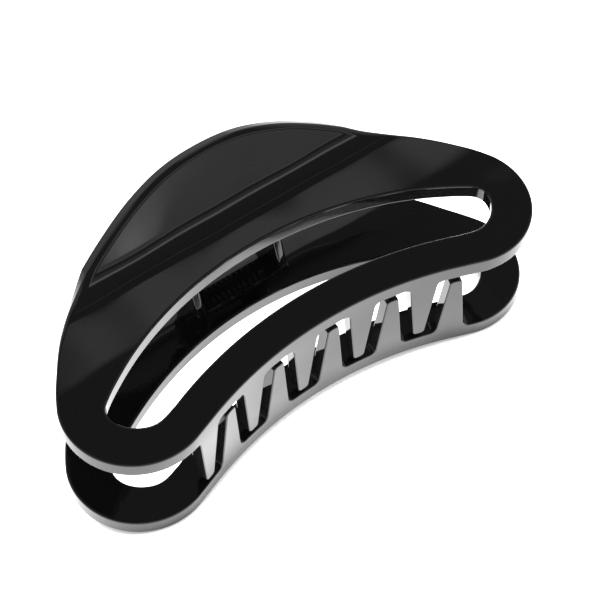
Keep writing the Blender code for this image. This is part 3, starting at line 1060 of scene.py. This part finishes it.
def settled_dust_group():
    """Specks that lie where the surface looks up, as a mask."""
    group, given, result = new_group(
        "settled_dust", (("Scale", 2400.0), ("Amount", 1.0)), ("Mask",),
    )
    place = node(group, "ShaderNodeTexCoord").outputs["Object"]
    specks = between(group, noise(group, place, given.outputs["Scale"], detail=2.0), *SPECK_LEVELS)
    drifts = between(group, noise(group, place, DRIFT_SCALE, detail=3.0), *DRIFT_LEVELS)
    normal = node(group, "ShaderNodeNewGeometry").outputs["Normal"]
    upward = between(group, parts_of(group, normal)["Z"], *UPWARD_LEVELS)
    mask = math_node(group, "MULTIPLY", math_node(group, "MULTIPLY", specks, drifts), upward)
    group.links.new(math_node(group, "MULTIPLY", mask, given.outputs["Amount"]), result.inputs["Mask"])
    return group


def bumped(tree, shader, height, distance):
    bump = node(tree, "ShaderNodeBump")
    bump.inputs["Distance"].default_value = distance
    tree.links.new(height, bump.inputs["Height"])
    tree.links.new(bump.outputs["Normal"], shader.inputs["Normal"])


def black_plastic(waves, scratches, dust):
    """Polished moulding: faint flow waves, stronger on the wing, hairline scratches and a little dust."""
    material, tree, shader = new_material("black_plastic")
    specks = placed_group(tree, dust, scale=2600.0, amount=0.2).outputs["Mask"]
    lines = placed_group(tree, scratches, scale=1.0, width=0.004, amount=0.6).outputs["Mask"]
    tree.links.new(mixed(tree, specks, PLASTIC_BLACK, PLASTIC_DUST), shader.inputs["Base Color"])
    place = node(tree, "ShaderNodeTexCoord").outputs["Object"]
    flow = between(tree, noise(tree, place, FLOW_SCALE, detail=2.0), *FLOW_LEVELS)
    rough = math_node(tree, "MULTIPLY_ADD", flow, FLOW_ROUGHNESS, PLASTIC_ROUGHNESS)
    rough = math_node(tree, "MULTIPLY_ADD", specks, PLASTIC_DUST_ROUGHNESS, rough)
    rough = math_node(tree, "MULTIPLY_ADD", lines, SCRATCH_ROUGHNESS, rough)
    tree.links.new(rough, shader.inputs["Roughness"])
    shader.inputs["IOR"].default_value = PLASTIC_IOR
    height = placed_group(tree, waves, wave_scale=35.0, skin_scale=700.0, skin_share=0.002).outputs["Height"]
    on_wing = between(tree, parts_of(tree, place)["Y"], *WAVE_GROWTH)
    strength = math_node(tree, "MULTIPLY_ADD", on_wing, 1 - WAVE_SHARE_IN_FRONT, WAVE_SHARE_IN_FRONT)
    level = math_node(tree, "SUBTRACT", height, NOISE_MIDDLE)
    bumped(tree, shader, math_node(tree, "MULTIPLY", level, strength), WAVE_HEIGHT)
    return material


def spring_steel(waves, scratches, dust):
    """Blackened wire: lines from the drawing die, worn brighter in patches."""
    material, tree, shader = new_material("spring_steel")
    place = node(tree, "ShaderNodeTexCoord")
    lines = noise(tree, place.outputs["UV"], 1.0, detail=2.0, stretch=DIE_LINE_STRETCH)
    worn = between(tree, noise(tree, place.outputs["Object"], WEAR_SCALE, detail=3.0), *WEAR_LEVELS)
    scuffs = placed_group(tree, scratches, scale=2.0, width=0.006, amount=1.0).outputs["Mask"]
    specks = placed_group(tree, dust, scale=3200.0, amount=0.6).outputs["Mask"]
    bright = math_node(tree, "MAXIMUM", math_node(tree, "MULTIPLY", worn, WEAR_SHARE), scuffs)
    tree.links.new(mixed(tree, bright, STEEL_DARK, STEEL_WORN), shader.inputs["Base Color"])
    rough = math_node(tree, "MULTIPLY_ADD", lines, DIE_LINE_ROUGHNESS, STEEL_ROUGHNESS)
    rough = math_node(tree, "MULTIPLY_ADD", specks, STEEL_DUST_ROUGHNESS, rough)
    tree.links.new(rough, shader.inputs["Roughness"])
    shader.inputs["Metallic"].default_value = 1.0
    skin = placed_group(tree, waves, wave_scale=500.0, skin_scale=3000.0, skin_share=0.3).outputs["Height"]
    height = math_node(tree, "MULTIPLY_ADD", lines, DIE_LINE_SHARE, skin)
    bumped(tree, shader, height, STEEL_SKIN_HEIGHT)
    return material


# Clip

def dress():
    waves, scratches, dust = soft_waves_group(), fine_scratches_group(), settled_dust_group()
    plastic = black_plastic(waves, scratches, dust)
    steel = spring_steel(waves, scratches, dust)
    upper = jaw("upper_jaw_moulding", UPPER_TEETH_CENTRE, UPPER_LUG_X)
    lower = jaw("lower_jaw_moulding", LOWER_TEETH_CENTRE, LOWER_LUG_X)
    made = (
        # item, matrix, body, node
        (upper, CLIP, "upper", "upper_jaw"),
        (lower, CLIP @ TURNED_OVER, "lower", "lower_jaw"),
    )
    for item, matrix, body, node in made:
        lay(item, matrix)
        item.data.materials.append(plastic)
        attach(item, body)
        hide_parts(node)

    axle = pin()
    axle.data.transform(CLIP)
    axle.data.materials.append(steel)
    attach(axle, "lower")
    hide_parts("hinge_pin")

    coil = spring()
    coil.data.transform(CLIP)
    coil.data.materials.append(steel)
    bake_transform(coil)
    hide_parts("spring_upper", "spring_lower")


# Studio

def camera():
    c, s = math.cos(CAMERA_ELEVATION), math.sin(CAMERA_ELEVATION)
    back = Vector((math.sin(CAMERA_AZIMUTH) * c, -math.cos(CAMERA_AZIMUTH) * c, s))
    right = Vector((math.cos(CAMERA_AZIMUTH), math.sin(CAMERA_AZIMUTH), 0.0))
    right = Matrix.Rotation(-CAMERA_ROLL, 3, -back) @ right
    up = back.cross(right)
    turn = Matrix((right, up, back)).transposed()
    turn = CLIP.to_3x3().normalized() @ turn
    data = bpy.data.cameras.new("camera")
    data.lens = CAMERA_LENS
    data.sensor_width = CAMERA_SENSOR
    data.clip_start = CAMERA_NEAREST
    item = bpy.data.objects.new("camera", data)
    item.matrix_world = (
        Matrix.Translation(CLIP @ (CAMERA_TARGET + back * CAMERA_DISTANCE)) @ turn.to_4x4()
    )
    bpy.context.scene.collection.objects.link(item)
    bpy.context.scene.camera = item


# Light of the room by its angle from straight up, towards the front above 0 and the back below it
ROOM_BANDS = (
    # degrees, brightness
    (-95.0, 0.40),
    (-60.0, 0.45),
    (-35.0, 0.68),
    (-22.0, 0.68),
    (-18.5, 0.13),
    (5.5, 0.13),
    (6.6, 0.70),
    (7.7, 0.13),
    (54.0, 0.15),
    (57.0, 1.70),
    (60.0, 1.70),
    (63.0, 0.45),
    (73.0, 0.30),
    (76.0, 0.10),
    (80.0, 0.10),
    (84.0, 0.90),
    (88.5, 0.60),
    (95.0, 0.60),
)
ROOM_BRIGHTNESS = 2.0

# Ceiling at the back, between two pale panels: where each starts and ends to the side and front to back
CEILING = 0.13
PANEL_START = (0.17, 0.31)
PANEL_END = (0.40, 0.54)
PANEL_BACK = (math.radians(-60), math.radians(-40))
PANEL_FRONT = (math.radians(-12), math.radians(-8))

# Plain side walls, and how far to the side they start
SIDE_WALL = 0.5
SIDE_WALL_START = (0.6, 0.85)

# Floor, with a painted pool of light round one point that the table gives off as glow, and how near the clip
# its painted shade reaches
FLOOR_HALF_LENGTH = 1.5
FLOOR_CELLS = 8
PAINTED_LIGHT_POOL = (0.02, -0.05, 0.0)
PAINTED_SHADE_REACH = 0.007
PAINTED_SHADE_LEVELS = (0.33, 0.75)
PAINTED_SHADE_SAMPLES = 8
PAINTED_POOL_BRIGHTNESS = 3.2
PAINTED_POOL_LEAST = 0.35
PAINTED_POOL_RINGS = (
    # metres, brightness
    (0.0, 3.0),
    (0.06, 2.9),
    (0.12, 1.7),
    (0.17, 1.15),
    (0.21, 1.0),
    (0.30, 0.45),
    (0.60, 0.10),
)


def grey_ramp(tree, place, stops, brightness):
    """Greys along a ramp, from pairs of place and brightness, as shares of one brightness."""
    ramp = node(tree, "ShaderNodeValToRGB")
    elements = ramp.color_ramp.elements
    elements.remove(elements[1])
    for i, (position, level) in enumerate(stops):
        element = elements[0] if i == 0 else elements.new(position)
        element.position = position
        element.color = grey(level / brightness)
    tree.links.new(place, ramp.inputs["Fac"])
    return ramp.outputs["Color"]


def painted_floor_light_and_shade(tree):
    """Painted light of the table, given off as glow: a painted pool, most in front of the clip and less far
    from it, and painted shade, least where the clip is near.
    """
    length = node(tree, "ShaderNodeVectorMath", operation="DISTANCE")
    tree.links.new(node(tree, "ShaderNodeNewGeometry").outputs["Position"], length.inputs[0])
    length.inputs[1].default_value = PAINTED_LIGHT_POOL
    painted_pool = grey_ramp(tree, length.outputs["Value"], PAINTED_POOL_RINGS, PAINTED_POOL_BRIGHTNESS)
    # Painted shade: the glow is darkened where the clip shelters the table
    painted_shade_ao = node(tree, "ShaderNodeAmbientOcclusion", samples=PAINTED_SHADE_SAMPLES)
    painted_shade_ao.inputs["Distance"].default_value = PAINTED_SHADE_REACH
    painted_light_share = between(tree, painted_shade_ao.outputs["AO"], *PAINTED_SHADE_LEVELS)
    shaded = mixed(tree, 1.0, painted_pool, painted_light_share, "MULTIPLY")
    return mixed(tree, 1.0, shaded, grey(PAINTED_POOL_LEAST / PAINTED_POOL_BRIGHTNESS), "LIGHTEN")


def floor():
    bm = bmesh.new()
    bmesh.ops.create_grid(bm, x_segments=FLOOR_CELLS, y_segments=FLOOR_CELLS, size=FLOOR_HALF_LENGTH)
    item = linked("floor", bm)
    material, tree, shader = new_material("white_table")
    place = node(tree, "ShaderNodeTexCoord").outputs["Object"]
    grain = noise(tree, place, GRAIN_SCALE, detail=3.0)
    shader.inputs["Base Color"].default_value = grey(TABLE_WHITE)
    rough = math_node(tree, "MULTIPLY_ADD", grain, GRAIN_ROUGHNESS, TABLE_ROUGHNESS)
    tree.links.new(rough, shader.inputs["Roughness"])
    bumped(tree, shader, grain, GRAIN_HEIGHT)
    # The table glows with the painted pool of light and its painted shade
    tree.links.new(painted_floor_light_and_shade(tree), shader.inputs["Emission Color"])
    shader.inputs["Emission Strength"].default_value = PAINTED_POOL_BRIGHTNESS
    item.data.materials.append(material)


def room():
    """Pale wall behind, a dim ceiling with two panels and two strip lights, and a pale front below it."""
    world = bpy.data.worlds.new("room")
    world.use_nodes = True
    tree = world.node_tree
    parts = parts_of(tree, node(tree, "ShaderNodeTexCoord").outputs["Generated"])
    forward = math_node(tree, "MULTIPLY", parts["Y"], -1.0)
    angle = math_node(tree, "ARCTAN2", forward, parts["Z"])
    share = math_node(tree, "MULTIPLY_ADD", angle, 1 / (2 * math.pi), 0.5)
    stops = [(0.5 + degrees / 360.0, brightness) for degrees, brightness in ROOM_BANDS]
    bands = grey_ramp(tree, share, stops, ROOM_BRIGHTNESS)
    width = math_node(tree, "ABSOLUTE", parts["X"])
    panel = within(tree, width, PANEL_START, PANEL_END)
    behind = within(tree, angle, PANEL_BACK, PANEL_FRONT)
    beside = math_node(tree, "MULTIPLY", math_node(tree, "SUBTRACT", 1.0, panel), behind)
    overhead = mixed(tree, beside, bands, grey(CEILING / ROOM_BRIGHTNESS))
    sideways = between(tree, width, *SIDE_WALL_START)
    colour = mixed(tree, sideways, overhead, grey(SIDE_WALL / ROOM_BRIGHTNESS))
    background = tree.nodes["Background"]
    tree.links.new(colour, background.inputs["Color"])
    background.inputs["Strength"].default_value = ROOM_BRIGHTNESS
    bpy.context.scene.world = world
    bpy.context.scene.view_settings.view_transform = "Standard"


dress()
camera()
floor()
room()
